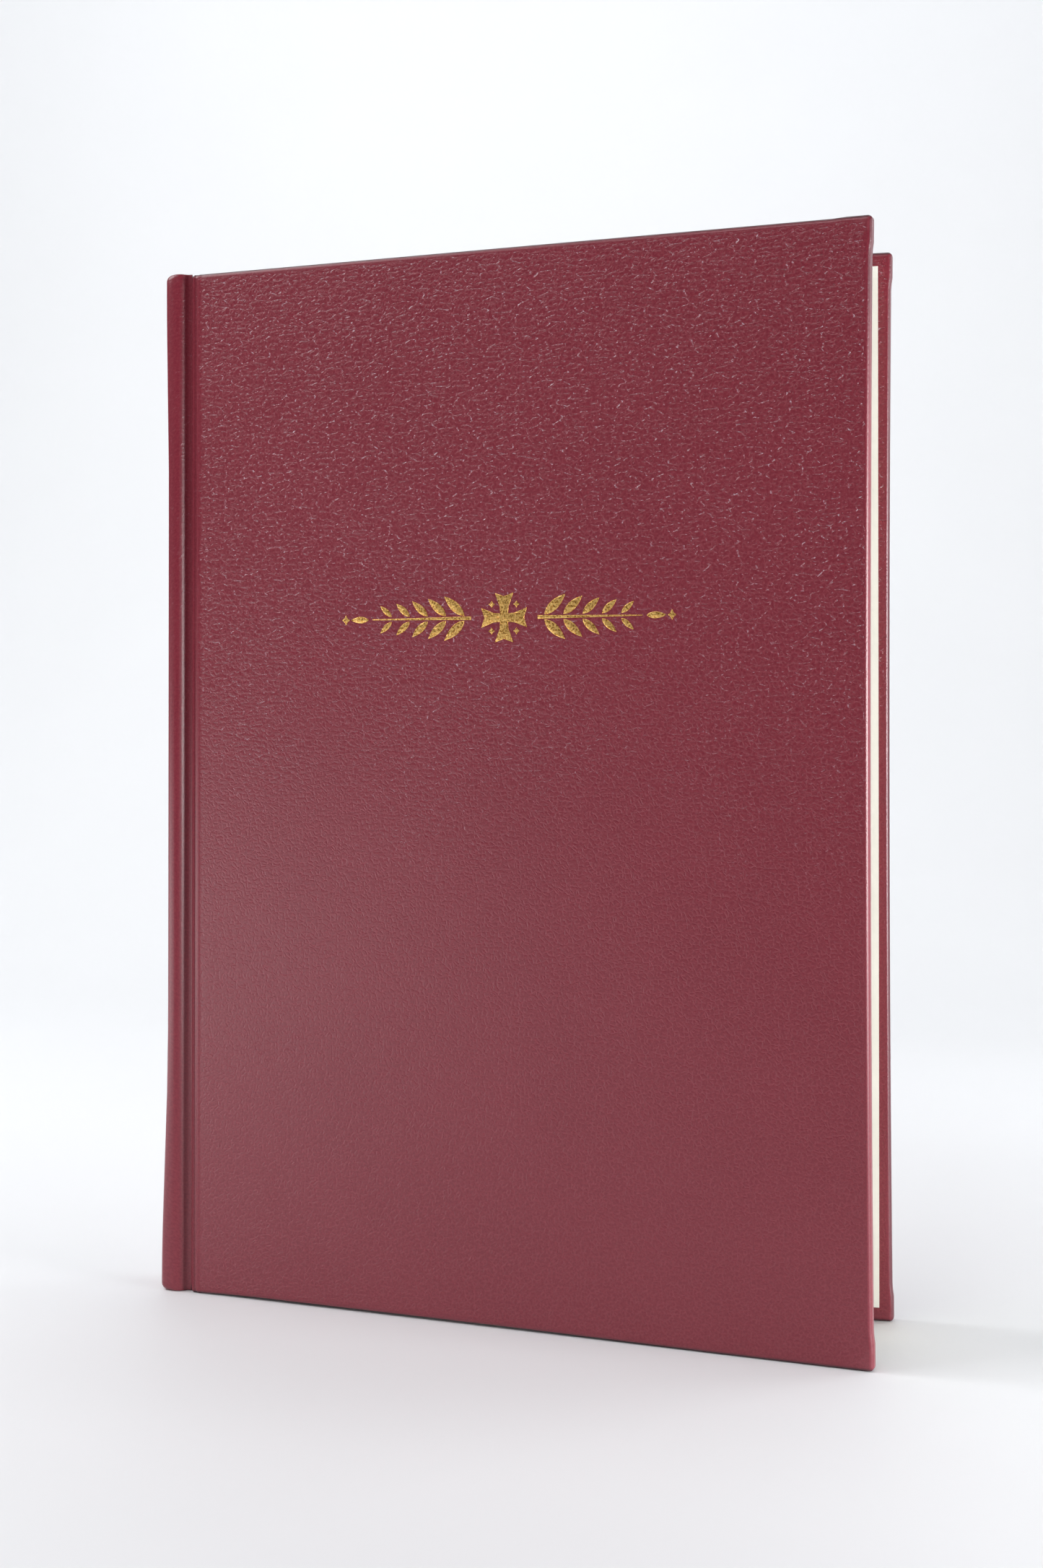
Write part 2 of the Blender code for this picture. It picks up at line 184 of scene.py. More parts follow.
def rest_case(points, side):
    """Where points of the case stand at rest: each bends first with the cover, then the joint."""
    points = np.asarray(points, float)
    x = points[:, 0].copy()
    name = NAMES[side]
    mirror = np.array([1.0, side])
    cover_turn = rest_turn(f"{name}_cover_hinge") * ramp(x, *COVER_BEND)
    joint_turn = rest_turn(f"{name}_joint_hinge") * ramp(x, *JOINT_BEND)
    points = turned(points, COVER_HINGE * mirror, cover_turn)
    points = turned(points, JOINT_HINGE * mirror, joint_turn)
    return points + np.array(ORIGIN)


def rest_leaf(points, hinge):
    """Where points of a leaf stand at rest: it bends away from its fold."""
    points = np.asarray(points, float)
    fold = hinge_place(hinge)
    turn = rest_turn(hinge) * ramp(points[:, 0], fold[0], fold[0] + LEAF_BEND)
    return turned(points, fold, turn) + np.array(ORIGIN)


def world(x, y, z=0.0):
    """A point of the closed book's frame in world coordinates, unturned."""
    return Vector((x, y, z)) + ORIGIN


def from_ends(z):
    """Height above the tail or below the head, whichever is less."""
    return np.minimum(z, HEIGHT - z)


# ---------------------------------------------------------------- meshes

def new_object(name, points, faces, material, smooth=30.0, skin_map=None):
    """A mesh object. skin_map gives each face corner's place on the flat leather, in metres."""
    mesh = bpy.data.meshes.new(name)
    mesh.from_pydata([tuple(point) for point in points], [], faces)
    if skin_map is not None:
        layer = mesh.uv_layers.new(name="skin")
        corners = [value for face in skin_map for corner in face for value in corner]
        layer.data.foreach_set("uv", corners)
    tidy = bmesh.new()
    tidy.from_mesh(mesh)
    bmesh.ops.recalc_face_normals(tidy, faces=tidy.faces)
    tidy.to_mesh(mesh)
    tidy.free()
    mesh.shade_smooth()
    mesh.set_sharp_from_angle(angle=math.radians(smooth))
    mesh.materials.append(material)
    obj = bpy.data.objects.new(name, mesh)
    bpy.context.scene.collection.objects.link(obj)
    return obj


def paint(obj, name, values):
    """Store one number a vertex, for a material to read."""
    attribute = obj.data.attributes.new(name, "FLOAT", "POINT")
    attribute.data.foreach_set("value", np.asarray(values, np.float32))


def smooth_path(points, steps):
    """Catmull-Rom curve through the points."""
    ends = [points[0], *points, points[-1]]
    path = []
    for a, b, c, d in zip(ends, ends[1:], ends[2:], ends[3:]):
        for t in np.arange(steps) / steps:
            path.append(tuple(
                0.5 * (2 * q + (r - p) * t + (2 * p - 5 * q + 4 * r - s) * t ** 2
                       + (3 * q - p - 3 * r + s) * t ** 3)
                for p, q, r, s in zip(a, b, c, d)))
    path.append(tuple(points[-1]))
    return np.array(path)


def path_normals(path):
    """Unit normals to the right of a plan-view path."""
    along = np.gradient(path, axis=0)
    along /= np.linalg.norm(along, axis=1)[:, None]
    return np.column_stack((along[:, 1], -along[:, 0]))


def tube_faces(rings, count):
    """Quads between rings of count points each, listed ring after ring."""
    faces = []
    for ring in range(rings - 1):
        for i in range(count):
            a, b = ring * count + i, ring * count + (i + 1) % count
            faces.append((a, b, b + count, a + count))
    return faces


def sheet_mesh(path, thickness, heights, start=0):
    """Points and faces of a thin upright sheet that follows a plan-view path."""
    normals = path_normals(path)
    ring = np.vstack((path + normals * thickness / 2, (path - normals * thickness / 2)[::-1]))
    count, rows = len(ring), len(heights)
    points = [(x, y, z) for z in heights for x, y in ring]
    faces = tube_faces(rows, count)
    for base in (0, (rows - 1) * count):
        for i in range(len(path) - 1):
            far = count - 1 - i
            faces.append((base + i, base + i + 1, base + far - 1, base + far))
    return np.array(points), [tuple(start + i for i in face) for face in faces]


def rounded_steps(radius):
    """Distances from an edge, whose rounding then has even steps."""
    angles = np.linspace(math.pi / 4, 0.0, ROUND_STEPS + 1)
    return radius * (1.0 - np.tan(angles))


# ---------------------------------------------------------------- leather skin

# The case's outer surface from board to groove, and from groove over the shoulder to mid-spine
GROOVE_PROFILE = [
    (2.2 * MM, HALF),
    (1.3 * MM, HALF - 0.02 * MM),
    (0.6 * MM, HALF + 0.09 * MM),
    (0.2 * MM, HALF - 0.14 * MM),
    (-0.3 * MM, HALF - 0.24 * MM),
    (-0.75 * MM, HALF - 0.10 * MM),
    (-1.05 * MM, HALF - 0.50 * MM),
    (-1.4 * MM, HALF - 1.30 * MM),
    (-1.75 * MM, HALF - 1.72 * MM),
    (GROOVE_X, HALF - GROOVE_DEPTH),
]
SHOULDER_PROFILE = [
    (GROOVE_X, HALF - GROOVE_DEPTH),
    (-2.85 * MM, HALF - 1.72 * MM),
    (-3.5 * MM, HALF - 1.34 * MM),
    (-4.25 * MM, HALF - 0.68 * MM),
    (-5.1 * MM, HALF - 0.20 * MM),
    (-6.1 * MM, HALF - 0.12 * MM),
    (-7.2 * MM, HALF - 0.55 * MM),
    (-7.85 * MM, HALF - 1.7 * MM),
    (SPINE_BACK + 0.3 * MM, HALF - 4.2 * MM),
    (SPINE_BACK + 0.02 * MM, 0.0),
]


def outer_depth(x):
    """Depth of the case's outer surface over the board and down into the groove."""
    groove = smooth_path(GROOVE_PROFILE, 8)
    return np.interp(x, groove[::-1, 0], groove[::-1, 1], right=HALF)


def build_cover_skin(side, material):
    """The leather over one board, from the groove's bottom round three edges to its turn-in."""
    groove_x = np.unique(np.round(smooth_path(GROOVE_PROFILE, 4)[:, 0], 7))
    edge = rounded_steps(EDGE_RADIUS)
    over_board = np.array([4.0, 8.0, 15.0, 28.0, 45.0, 65.0, 85.0, 105.0, 125.0, 138.0]) * MM
    from_fore = np.array([15.0, 11.0, 8.5, 7.0, 5.5, 3.5, 2.0]) * MM
    xs = np.concatenate((groove_x, over_board, WIDTH - from_fore, WIDTH - edge[::-1]))
    inset = np.array([2.0, 3.5, 5.5, 7.0, 8.5, 11.0, 15.0, 25.0, 45.0, 70.0, 95.0]) * MM
    zs_end = len(edge) + len(inset)
    ys_count = 2 * len(edge)

    def z_line(k, radius):
        line = np.concatenate((rounded_steps(radius), inset, [HEIGHT / 2]))
        return line[k] if k <= zs_end else HEIGHT - line[2 * zs_end - k]

    points, faces, index, skin_map = [], [], {}, []
    steps = np.hypot(np.diff(xs), np.diff(outer_depth(xs)))
    along = WIDTH - np.append(np.cumsum(steps[::-1])[::-1], 0.0)

    def vertex(i, j, k):
        key = (i, j, k)
        if key not in index:
            index[key] = len(points)
            x = xs[i]
            out = float(outer_depth(x))
            inner = INNER + (1.0 - ramp(x, -0.6 * MM, 0.5 * MM)) * 0.65 * MM
            radius = min(EDGE_RADIUS, 0.49 * (out - inner))
            line = rounded_steps(radius)
            y = out - line[j] if j < len(line) else inner + line[ys_count - 1 - j]
            corner = np.array([x, y, z_line(k, radius)])
            core = np.array([min(x, WIDTH - radius), np.clip(y, inner + radius, out - radius),
                             np.clip(corner[2], radius, HEIGHT - radius)])
            away = corner - core
            reach = np.linalg.norm(away)
            points.append(core + away * (radius / reach) if reach > 1e-9 else corner)
        return index[key]

    def add_faces(cell, unfold, rows, columns):
        for a in rows:
            for b in columns:
                cells = [cell(a + s, b + t) for s, t in ((0, 0), (1, 0), (1, 1), (0, 1))]
                corners = [vertex(*ijk) for ijk in cells]
                faces.append(tuple(corners))
                skin_map.append([unfold(ijk[0], *points[n]) for ijk, n in zip(cells, corners)])

    last_i, last_j, last_k = len(xs) - 1, ys_count - 1, 2 * zs_end
    turn_i = int(np.argmin(abs(xs - (WIDTH - TURN_IN))))
    turn_k = len(edge) + int(np.argmin(abs(inset - TURN_IN)))
    far = 2 * WIDTH + COVER_THICKNESS
    above = 2 * HEIGHT + COVER_THICKNESS
    add_faces(lambda a, b: (a, 0, b), lambda i, x, y, z: (along[i], z),
              range(last_i), range(last_k))
    add_faces(lambda a, b: (a, b, 0), lambda i, x, y, z: (along[i], y - HALF),
              range(last_i), range(last_j))
    add_faces(lambda a, b: (a, b, last_k), lambda i, x, y, z: (along[i], HEIGHT + HALF - y),
              range(last_i), range(last_j))
    add_faces(lambda a, b: (last_i, a, b), lambda i, x, y, z: (WIDTH + HALF - y, z),
              range(last_j), range(last_k))
    add_faces(lambda a, b: (a, last_j, b), lambda i, x, y, z: (x, -COVER_THICKNESS - z),
              range(last_i), range(turn_k))
    add_faces(lambda a, b: (a, last_j, b), lambda i, x, y, z: (x, above - z),
              range(last_i), range(last_k - turn_k, last_k))
    add_faces(lambda a, b: (a, last_j, b), lambda i, x, y, z: (far - x, z),
              range(turn_i, last_i), range(turn_k, last_k - turn_k))

    points = hand_bound(np.array(points))
    # the second mask marks where shade is painted along the cover's edges
    wear, painted_shade, pressed = edge_wear(points), painted_edge_shade(points, side), pressed_flat(points)
    points[:, 1] *= side
    name = f"{NAMES[side]}_cover_skin"
    skin = new_object(name, rest_case(points, side), faces, material, skin_map=skin_map)
    paint(skin, "wear", wear)
    # painted shade along the cover's edges, stored for the leather to darken them
    paint(skin, "painted_shade", painted_shade)
    paint(skin, "pressed", pressed)
    solidify = skin.modifiers.new("leather", "SOLIDIFY")
    solidify.thickness = SKIN
    solidify.offset = -1.0
    apply_modifiers(skin)
    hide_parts(f"{NAMES[side]}_cover_leather", f"{NAMES[side]}_joint_leather")
    rest_point(COVER_BEND[0], side)
    rest_point(COVER_BEND[1], side)
    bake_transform(skin)


def hand_bound(points):
    """Slight unevenness of a covered board: thick folded corners and a slightly hollow fore-edge."""
    x, y, z = points.T
    from_fore = WIDTH - x
    over_board = ramp(x, 0.0, 30.0 * MM)
    x = x - ramp(x, WIDTH - 2.5 * MM, WIDTH) * fore_edge_inset(z)
    side_fold = 1.0 - ramp(from_fore, 6.0 * MM, 8.0 * MM)
    sink = HEAD_SINK * (1.0 - side_fold) * (1.0 - ramp(from_ends(z), 0.0, 2.5 * MM))
    lift = TAIL_LIFT * ramp(x, 0.0, 12.0 * MM) * (1.0 - ramp(x, 70.0 * MM, 145.0 * MM))
    z = z + np.where(z < HEIGHT / 2, lift * (1.0 - ramp(z, 0.0, 6.0 * MM)), -sink)
    wave = 0.03 * MM * np.sin(x / (17.0 * MM)) * np.sin(z / (23.0 * MM) + 1.0)
    return np.column_stack((x, y + wave * over_board, z))


def fore_edge_inset(z):
    """How far the fore-edge stands back: least at the thick corner folds, most at mid-height."""
    hollow = FORE_EDGE_HOLLOW * (1.0 - (2.0 * z / HEIGHT - 1.0) ** 2)
    return hollow + CORNER_FOLD * ramp(from_ends(z), 6.0 * MM, 7.6 * MM)


def edge_wear(points):
    """1 at the rubbed corners, less along the edges, 0 on the flat of the cover."""
    x, _, z = points.T
    from_end = from_ends(z)
    edges = np.maximum(1.0 - from_end / (1.6 * MM), 1.0 - (WIDTH - x) / (1.6 * MM))
    corner = 1.0 - np.hypot(from_end, WIDTH - x) / (7.0 * MM)
    return np.clip(0.3 * np.clip(edges, 0, 1) + 0.5 * np.clip(corner, 0, 1), 0.0, 1.0)


def painted_edge_shade(points, side):
    """1 where shade is painted on the edges, 0 on the flat of the cover and most of the front
    fore-edge.
    """
    x, _, z = points.T
    ends = 1.0 - ramp(from_ends(z), 0.25 * MM, 0.9 * MM)
    fore = 1.0 - ramp(WIDTH - fore_edge_inset(z) - x, 0.2 * MM, 0.9 * MM)
    if side == FRONT:
        fore = fore * ramp(z, HEIGHT - 34.0 * MM, HEIGHT - 18.0 * MM)
    return np.maximum(ends, 0.75 * fore)


def pressed_flat(points):
    """1 where the grain is pressed flat: on the edges and down into the joint's groove."""
    x, _, z = points.T
    from_edge = np.minimum(from_ends(z), WIDTH - x)
    return np.maximum(1.0 - ramp(from_edge, 0.8 * MM, 2.2 * MM), 1.0 - ramp(x, -0.2 * MM, 2.4 * MM))


def build_board(side, material):
    """The greyboard in a cover, hollow along its fore-edge like the leather over it."""
    low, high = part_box("back_board")
    clear = SKIN + 0.12 * MM
    heights = np.linspace(low.z, high.z, 17)
    start, end = low.x - ORIGIN.x, WIDTH - clear
    near, far = high.y - ORIGIN.y, low.y - ORIGIN.y
    points = []
    for z in heights:
        right = end - float(fore_edge_inset(z))
        points += [(start, side * near, z), (right, side * near, z),
                   (right, side * far, z), (start, side * far, z)]
    faces = [tuple(4 * row + corner for corner in range(4)) for row in (0, len(heights) - 1)]
    faces += tube_faces(len(heights), 4)
    name = f"{NAMES[side]}_board"
    board = new_object(f"{name}_core", rest_case(points, side), faces, material)
    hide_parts(name)
    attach(board, f"{NAMES[side]}_cover")


def rest_point(x, side):
    """A point of the joint's outer surface at rest."""
    return Vector(rest_case([(x, side * float(outer_depth(x)), HEIGHT / 2)], side)[0])


def rest_point_at(x, side):
    """A point at the joint hinge's depth, at rest."""
    return Vector(rest_case([(x, side * JOINT_HINGE[1], HEIGHT / 2)], side)[0])


def build_spine_skin(side, material):
    """Half of the spine's leather: from the groove over the shoulder to the middle of the back."""
    path = smooth_path(SHOULDER_PROFILE, 5)
    path = np.vstack((path, (path[-1][0], -HALVES_OVERLAP)))
    normals = -path_normals(path)
    rows = np.array([2.0, 4.0, 8.0, 12.0, 13.0, 20.0, 45.0, 60.0, 80.0]) * MM
    inner_rows = rows[:4:-1]
    drop = 0.03 * MM
    arc = np.linspace(0.0, math.pi / 2, 6)
    points = []
    for (x, y), (nx, ny) in zip(path, normals):
        at_back = ramp(-x, 3.8 * MM, 7.4 * MM)
        cap = 0.4 * MM + 1.3 * MM * at_back
        wall = max(0.8 * MM, 1.05 * cap)
        outer = [(cap * (1 - math.cos(a)), drop + cap * (1 - math.sin(a))) for a in arc[::-1]]
        outer += [(0.0, drop + cap + row) for row in rows]
        inner = [(SKIN, HEIGHT / 2)]
        inner += [(SKIN, drop + cap + row) for row in inner_rows]
        inner += [(SKIN, 14.0 * MM), (wall, 12.0 * MM),
                  (wall, drop + 0.3 * MM), (wall - 0.12 * MM, drop + 0.08 * MM)]
        lower = outer + [(0.0, HEIGHT / 2)]
        upper = [(depth, HEIGHT + HEAD_RISE - z) for depth, z in outer[::-1]]
        inner_up = [(depth, HEIGHT - z) for depth, z in inner[:0:-1]]
        loop = lower + upper + inner_up + inner
        for depth, z in loop:
            flare = float(spine_flare(z)) * at_back
            points.append((x + nx * depth - flare, side * (y + ny * depth), z))
    count = len(loop)
    up = np.append(0.0, np.cumsum([math.dist(a, b) for a, b in zip(loop, loop[1:] + loop[:1])]))
    steps = np.hypot(*np.diff(path, axis=0).T)
    along = GROOVE_X - np.append(0.0, np.cumsum(steps))
    faces = tube_faces(len(path), count)
    skin_map = [[(along[i], up[j]), (along[i], up[j + 1]),
                 (along[i + 1], up[j + 1]), (along[i + 1], up[j])]
                for i in range(len(path) - 1) for j in range(count)]
    for i, order in ((0, 1), (len(path) - 1, -1)):
        faces.append(tuple(i * count + j for j in range(count))[::order])
        skin_map.append([(along[i] + depth, z) for depth, z in loop][::order])
    name = f"{NAMES[side]}_spine_skin"
    points = np.array(points)
    skin = new_object(name, rest_case(points, side), faces, material, 50.0, skin_map)
    end_rub = np.clip(1.0 - from_ends(points[:, 2]) / (2.5 * MM), 0, 1)
    rubbed = end_rub * ramp(-points[:, 0], 4 * MM, 7 * MM)
    paint(skin, "wear", 0.5 * rubbed)
    paint(skin, "pressed", np.full(len(points), 0.85))
    rest_point_at(JOINT_BEND[0], side)
    rest_point_at(JOINT_BEND[1], side)
    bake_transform(skin)
    return skin


def spine_flare(z):
    """How far the back of the spine swells outwards, mostly at the tail."""
    tail = TAIL_FLARE * (1.0 - ramp(z, 2.0 * MM, 75.0 * MM)) ** 1.6
    return tail + HEAD_FLARE * ramp(z, 190.0 * MM, 236.0 * MM)


def apply_modifiers(obj):
    """Give the object the mesh that its modifiers make."""
    graph = bpy.context.evaluated_depsgraph_get()
    mesh = bpy.data.meshes.new_from_object(obj.evaluated_get(graph))
    obj.modifiers.clear()
    old = obj.data
    obj.data = mesh
    bpy.data.meshes.remove(old)


# ---------------------------------------------------------------- paper

def build_pastedown(side, material):
    """The glued endpaper, from the joint over the board, dipping where the turn-ins end."""
    xs = np.concatenate((np.linspace(-1.5, 2.0, 9), [4.0, 8.0, 30.0, 60.0, 90.0, 120.0])) * MM
    step = np.array([-1.5, -0.75, 0.0, 1.0, 6.0]) * MM
    xs = np.concatenate((xs, WIDTH - TURN_IN + step, [paste_high.x - ORIGIN.x]))
    end = np.concatenate(([MARGIN, 9.0 * MM], TURN_IN - step[::-1][1:], [30 * MM, 70 * MM]))
    zs = np.concatenate((end, [HEIGHT / 2], HEIGHT - end[::-1]))
    points = []
    for face_shift in (0.0, PASTED_THICKNESS):
        for z in zs:
            for x in xs:
                from_turn_in = min(WIDTH - TURN_IN - x, z - TURN_IN, HEIGHT - TURN_IN - z)
                sunk = TURN_IN_DIP * float(ramp(from_turn_in, -0.75 * MM, 0.75 * MM))
                joint = 0.35 * MM * float(ramp(-x, -0.5 * MM, 0.9 * MM))
                sunk = sunk * float(ramp(x, 0.5 * MM, 4.0 * MM)) + joint
                points.append((x, side * (INNER - PASTED_LIFT + sunk + face_shift), z))
    columns, rows = len(xs), len(zs)
    layer = columns * rows
    faces = []
    for r in range(rows - 1):
        for c in range(columns - 1):
            a = r * columns + c
            quad = (a, a + 1, a + columns + 1, a + columns)
            faces.append(quad)
            faces.append(tuple(layer + i for i in quad[::-1]))
    rim = ([c for c in range(columns)] + [r * columns + columns - 1 for r in range(1, rows)]
           + [(rows - 1) * columns + c for c in range(columns - 2, -1, -1)]
           + [r * columns for r in range(rows - 2, 0, -1)])
    for a, b in zip(rim, rim[1:] + rim[:1]):
        faces.append((a, a + layer, b + layer, b))
    name = f"{NAMES[side]}_pasted_endpaper"
    sheet = new_object(name, rest_case(points, side), faces, material)
    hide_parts(f"{NAMES[side]}_pastedown", f"{NAMES[side]}_endpaper_joint")
    rest_point(COVER_BEND[0], side)
    rest_point(COVER_BEND[1], side)
    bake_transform(sheet)


def build_endpaper_fold(side, material):
    """The strip of endpaper between the flyleaf's fold and the joint."""
    hinge = f"{NAMES[side]}_flyleaf_hinge"
    fold_x, fold_y = hinge_place(hinge)
    path = smooth_path([
        (fold_x - 0.1 * MM, side * abs(fold_y)),
        (fold_x - 0.3 * MM, side * (abs(fold_y) + 0.25 * MM)),
        (fold_x + 0.1 * MM, side * (INNER + 0.25 * MM)),
        (-1.45 * MM, side * (INNER + 0.26 * MM)),
    ], 4)
    points, faces = sheet_mesh(path, PASTED_THICKNESS, [MARGIN, HEIGHT / 2, HEIGHT - MARGIN])
    sheet = new_object(f"{NAMES[side]}_endpaper_fold", rest_case(points, side), faces, material)
    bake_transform(sheet)


def leaf_stations(fold_x):
    """Distances along a leaf: close together where it bends, wider apart beyond."""
    bend = fold_x + LEAF_BEND * np.array([0.0, 0.1, 0.2, 0.3, 0.4, 0.5, 0.6, 0.7, 0.8, 0.9, 1.0])
    beyond = np.array([20.0, 35.0, 55.0, 80.0, 105.0, 130.0, 147.0]) * MM
    return np.concatenate((bend, beyond, [LEAF_END]))


def ripple(points, amount):
    """The gentle cockle that paper takes, growing towards the fore-edge."""
    x, y, z = points.T
    grow = ramp(x, 10.0 * MM, WIDTH)
    wave = np.sin(z / (31.0 * MM) + 0.6) * np.cos(x / (47.0 * MM)) + 0.5 * np.sin(z / (13.0 * MM))
    return np.column_stack((x, y + amount * grow * wave, z))


def leaf_heights():
    """The heights of a leaf's rows of points."""
    return np.linspace(LEAF_BASE, LEAF_TOP, 9)


def build_flyleaf(side, material):
    """The free half of an endpaper, which turns about its fold."""
    hinge = f"{NAMES[side]}_flyleaf_hinge"
    fold_x, fold_y = hinge_place(hinge)
    xs = leaf_stations(fold_x)
    path = np.column_stack((xs, np.full(len(xs), fold_y)))
    points, faces = sheet_mesh(path, FLYLEAF_THICKNESS, leaf_heights())
    points = ripple(points, 0.02 * MM)
    sheet = new_object(f"{NAMES[side]}_free_endpaper", rest_leaf(points, hinge), faces, material)
    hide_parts(f"{NAMES[side]}_flyleaf")
    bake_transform(sheet)


def folded_sheet(hinge, order, half):
    """Plan-view path of one folded sheet of a gathering, fore-edge to fold to fore-edge."""
    fold_x, fold_y = hinge_place(hinge)
    offset = half * (order + 0.5) / SHEETS
    xs = leaf_stations(fold_x + offset)
    xs[-1] = LEAF_END
    front = np.column_stack((xs[::-1], np.full(len(xs), fold_y - offset)))
    angles = np.linspace(-math.pi / 2, -3 * math.pi / 2, 7)[1:-1]
    turn = np.column_stack((fold_x + offset + 0.9 * offset * np.cos(angles),
                            fold_y + offset * np.sin(angles)))
    back = np.column_stack((xs, np.full(len(xs), fold_y + offset)))
    return np.vstack((front, turn, back))


def build_gathering(number, material):
    """Folded sheets, one inside the other."""
    hinge = f"gathering_{number}_hinge"
    neighbour = hinge_place("gathering_2_hinge")[1] - hinge_place("gathering_1_hinge")[1]
    half = abs(neighbour) / 2
    paper = 0.8 * half / SHEETS
    all_points, all_faces = [], []
    for order in range(SHEETS):
        path = folded_sheet(hinge, order, half)
        start = sum(len(points) for points in all_points)
        points, faces = sheet_mesh(path, paper, leaf_heights(), start)
        all_points.append(points)
        all_faces += faces
    points = ripple(np.vstack(all_points), 0.05 * MM)
    name = f"gathering_{number}_leaves"
    leaves = new_object(name, rest_leaf(points, hinge), all_faces, material)
    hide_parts(f"gathering_{number}")
    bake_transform(leaves)


# ---------------------------------------------------------------- bands

def build_band(name, material):
    """A cord wound side by side with silk thread."""
    low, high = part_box(name)
    centre = (low + high) / 2
    radius = (high.z - low.z) / 2
    windings = 22
    steps, around = windings * 6, 14
    points = []
    for i in range(steps + 1):
        y = low.y + (high.y - low.y) * i / steps
        ridge = abs(math.sin(math.pi * windings * i / steps))
        r = radius * (0.86 + 0.14 * math.sqrt(ridge))
        for j in range(around):
            angle = 2 * math.pi * j / around
            points.append((centre.x + r * math.cos(angle), y, centre.z + r * math.sin(angle)))
    faces = tube_faces(steps + 1, around)
    faces.append(tuple(range(around)))
    faces.append(tuple(steps * around + j for j in range(around))[::-1])
    band = new_object(f"wound_{name}", points, faces, material, 60.0)
    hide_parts(name)
    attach(band, "spine")


# ---------------------------------------------------------------- gilding

def gilt_piece(name, outlines, replaced, centre, material):
    """Flat foil shapes with rounded rims, on the front cover's outer face."""
    curve = bpy.data.curves.new(name, "CURVE")
    curve.dimensions = "2D"
    curve.fill_mode = "BOTH"
    curve.extrude = 0.02 * MM
    curve.bevel_depth = FOIL_RIM
    curve.bevel_resolution = 2
    curve.offset = -FOIL_RIM
    for outline in outlines:
        spline = curve.splines.new("POLY")
        spline.points.add(len(outline) - 1)
        for point, (u, v) in zip(spline.points, outline):
            point.co = (u, v, 0.0, 1.0)
        spline.use_cyclic_u = True
    shaper = bpy.data.objects.new(name, curve)
    bpy.context.scene.collection.objects.link(shaper)
    graph = bpy.context.evaluated_depsgraph_get()
    flat = bpy.data.meshes.new_from_object(shaper.evaluated_get(graph))
    bpy.data.objects.remove(shaper)
    welded = bmesh.new()
    welded.from_mesh(flat)
    bmesh.ops.remove_doubles(welded, verts=welded.verts, dist=0.00001 * MM)
    shapes = np.array([vertex.co for vertex in welded.verts])
    faces = [tuple(vertex.index for vertex in face.verts) for face in welded.faces]
    welded.free()
    points = np.column_stack((shapes[:, 0] + centre[0], -HALF - FOIL_LIFT - shapes[:, 2],
                              shapes[:, 1] + centre[1]))
    skin_map = [[(points[corner][0], points[corner][2]) for corner in face] for face in faces]
    foil = new_object(f"{name}_foil", rest_case(points, FRONT), faces, material, 50.0, skin_map)
    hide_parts(replaced)
    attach(foil, "front_cover")


def leaf_outline(root, angle, length, width):
    """A pointed leaf that starts at root and points along angle."""
    steps = 10
    upper = []
    for i in range(steps + 1):
        t = i / steps
        upper.append((t * length, width / 2 * math.sin(math.pi * t ** 0.85) ** 0.9))
    outline = upper + [(u, -v) for u, v in upper[-2:0:-1]]
    cos, sin = math.cos(angle), math.sin(angle)
    return [(root[0] + u * cos - v * sin, root[1] + u * sin + v * cos) for u, v in outline]


def lozenge(centre, reach_u, reach_v):
    """A diamond with slightly hollow sides."""
    hollow = 0.38
    corners = [(reach_u, 0), (hollow * reach_u, hollow * reach_v), (0, reach_v),
               (-hollow * reach_u, hollow * reach_v), (-reach_u, 0),
               (-hollow * reach_u, -hollow * reach_v), (0, -reach_v),
               (hollow * reach_u, -hollow * reach_v)]
    return [(centre[0] + u, centre[1] + v) for u, v in corners]


def stem_outline(length, width):
    """A thin stem that tapers to its far end."""
    steps = 12
    upper = []
    for i in range(steps + 1):
        t = i / steps
        upper.append((t * length, width / 2 * (1.0 - 0.75 * t)))
    return upper + [(u, -v) for u, v in upper[::-1]]


def spray_outlines(length, height, facing):
    """A stem with paired leaves that grow smaller outwards, and a lozenge at its tip."""
    pairs = 5
    outlines = [stem_outline(0.76 * length, 0.8 * MM)]
    for i in range(pairs):
        t = i / (pairs - 1)
        size = 1.0 - 0.42 * t
        root = (length * (0.05 + 0.70 * i / pairs), 0.55 * MM)
        for flip in (1, -1):
            leaf = leaf_outline(root, math.radians(42), 0.60 * height * size, 2.1 * MM * size)
            outlines.append([(u, flip * v) for u, v in leaf])
    outlines.append(leaf_outline((0.79 * length, 0.0), 0.0, 0.14 * length, 1.5 * MM))
    outlines.append(lozenge((0.97 * length, 0.0), 1.0 * MM, 1.15 * MM))
    return [[(facing * u, v) for u, v in outline] for outline in outlines]


def cross_outlines(height):
    """A plain cross with arms that flare, and a small lozenge in each quarter."""
    reach, end, waist = height / 2, 0.20 * height, 0.085 * height
    notch = 0.43 * height
    outline = []
    for quarter in range(4):
        turn = quarter * math.pi / 2
        cos, sin = math.cos(turn), math.sin(turn)
        for u, v in [(waist, waist), (0.095 * height, 0.22 * height), (end, reach), (0.0, notch),
                     (-end, reach), (-0.095 * height, 0.22 * height)]:
            outline.append((u * cos - v * sin, u * sin + v * cos))
    dots = [lozenge((a * 0.27 * height, b * 0.27 * height), 0.8 * MM, 0.8 * MM)
            for a in (1, -1) for b in (1, -1)]
    return [outline] + dots


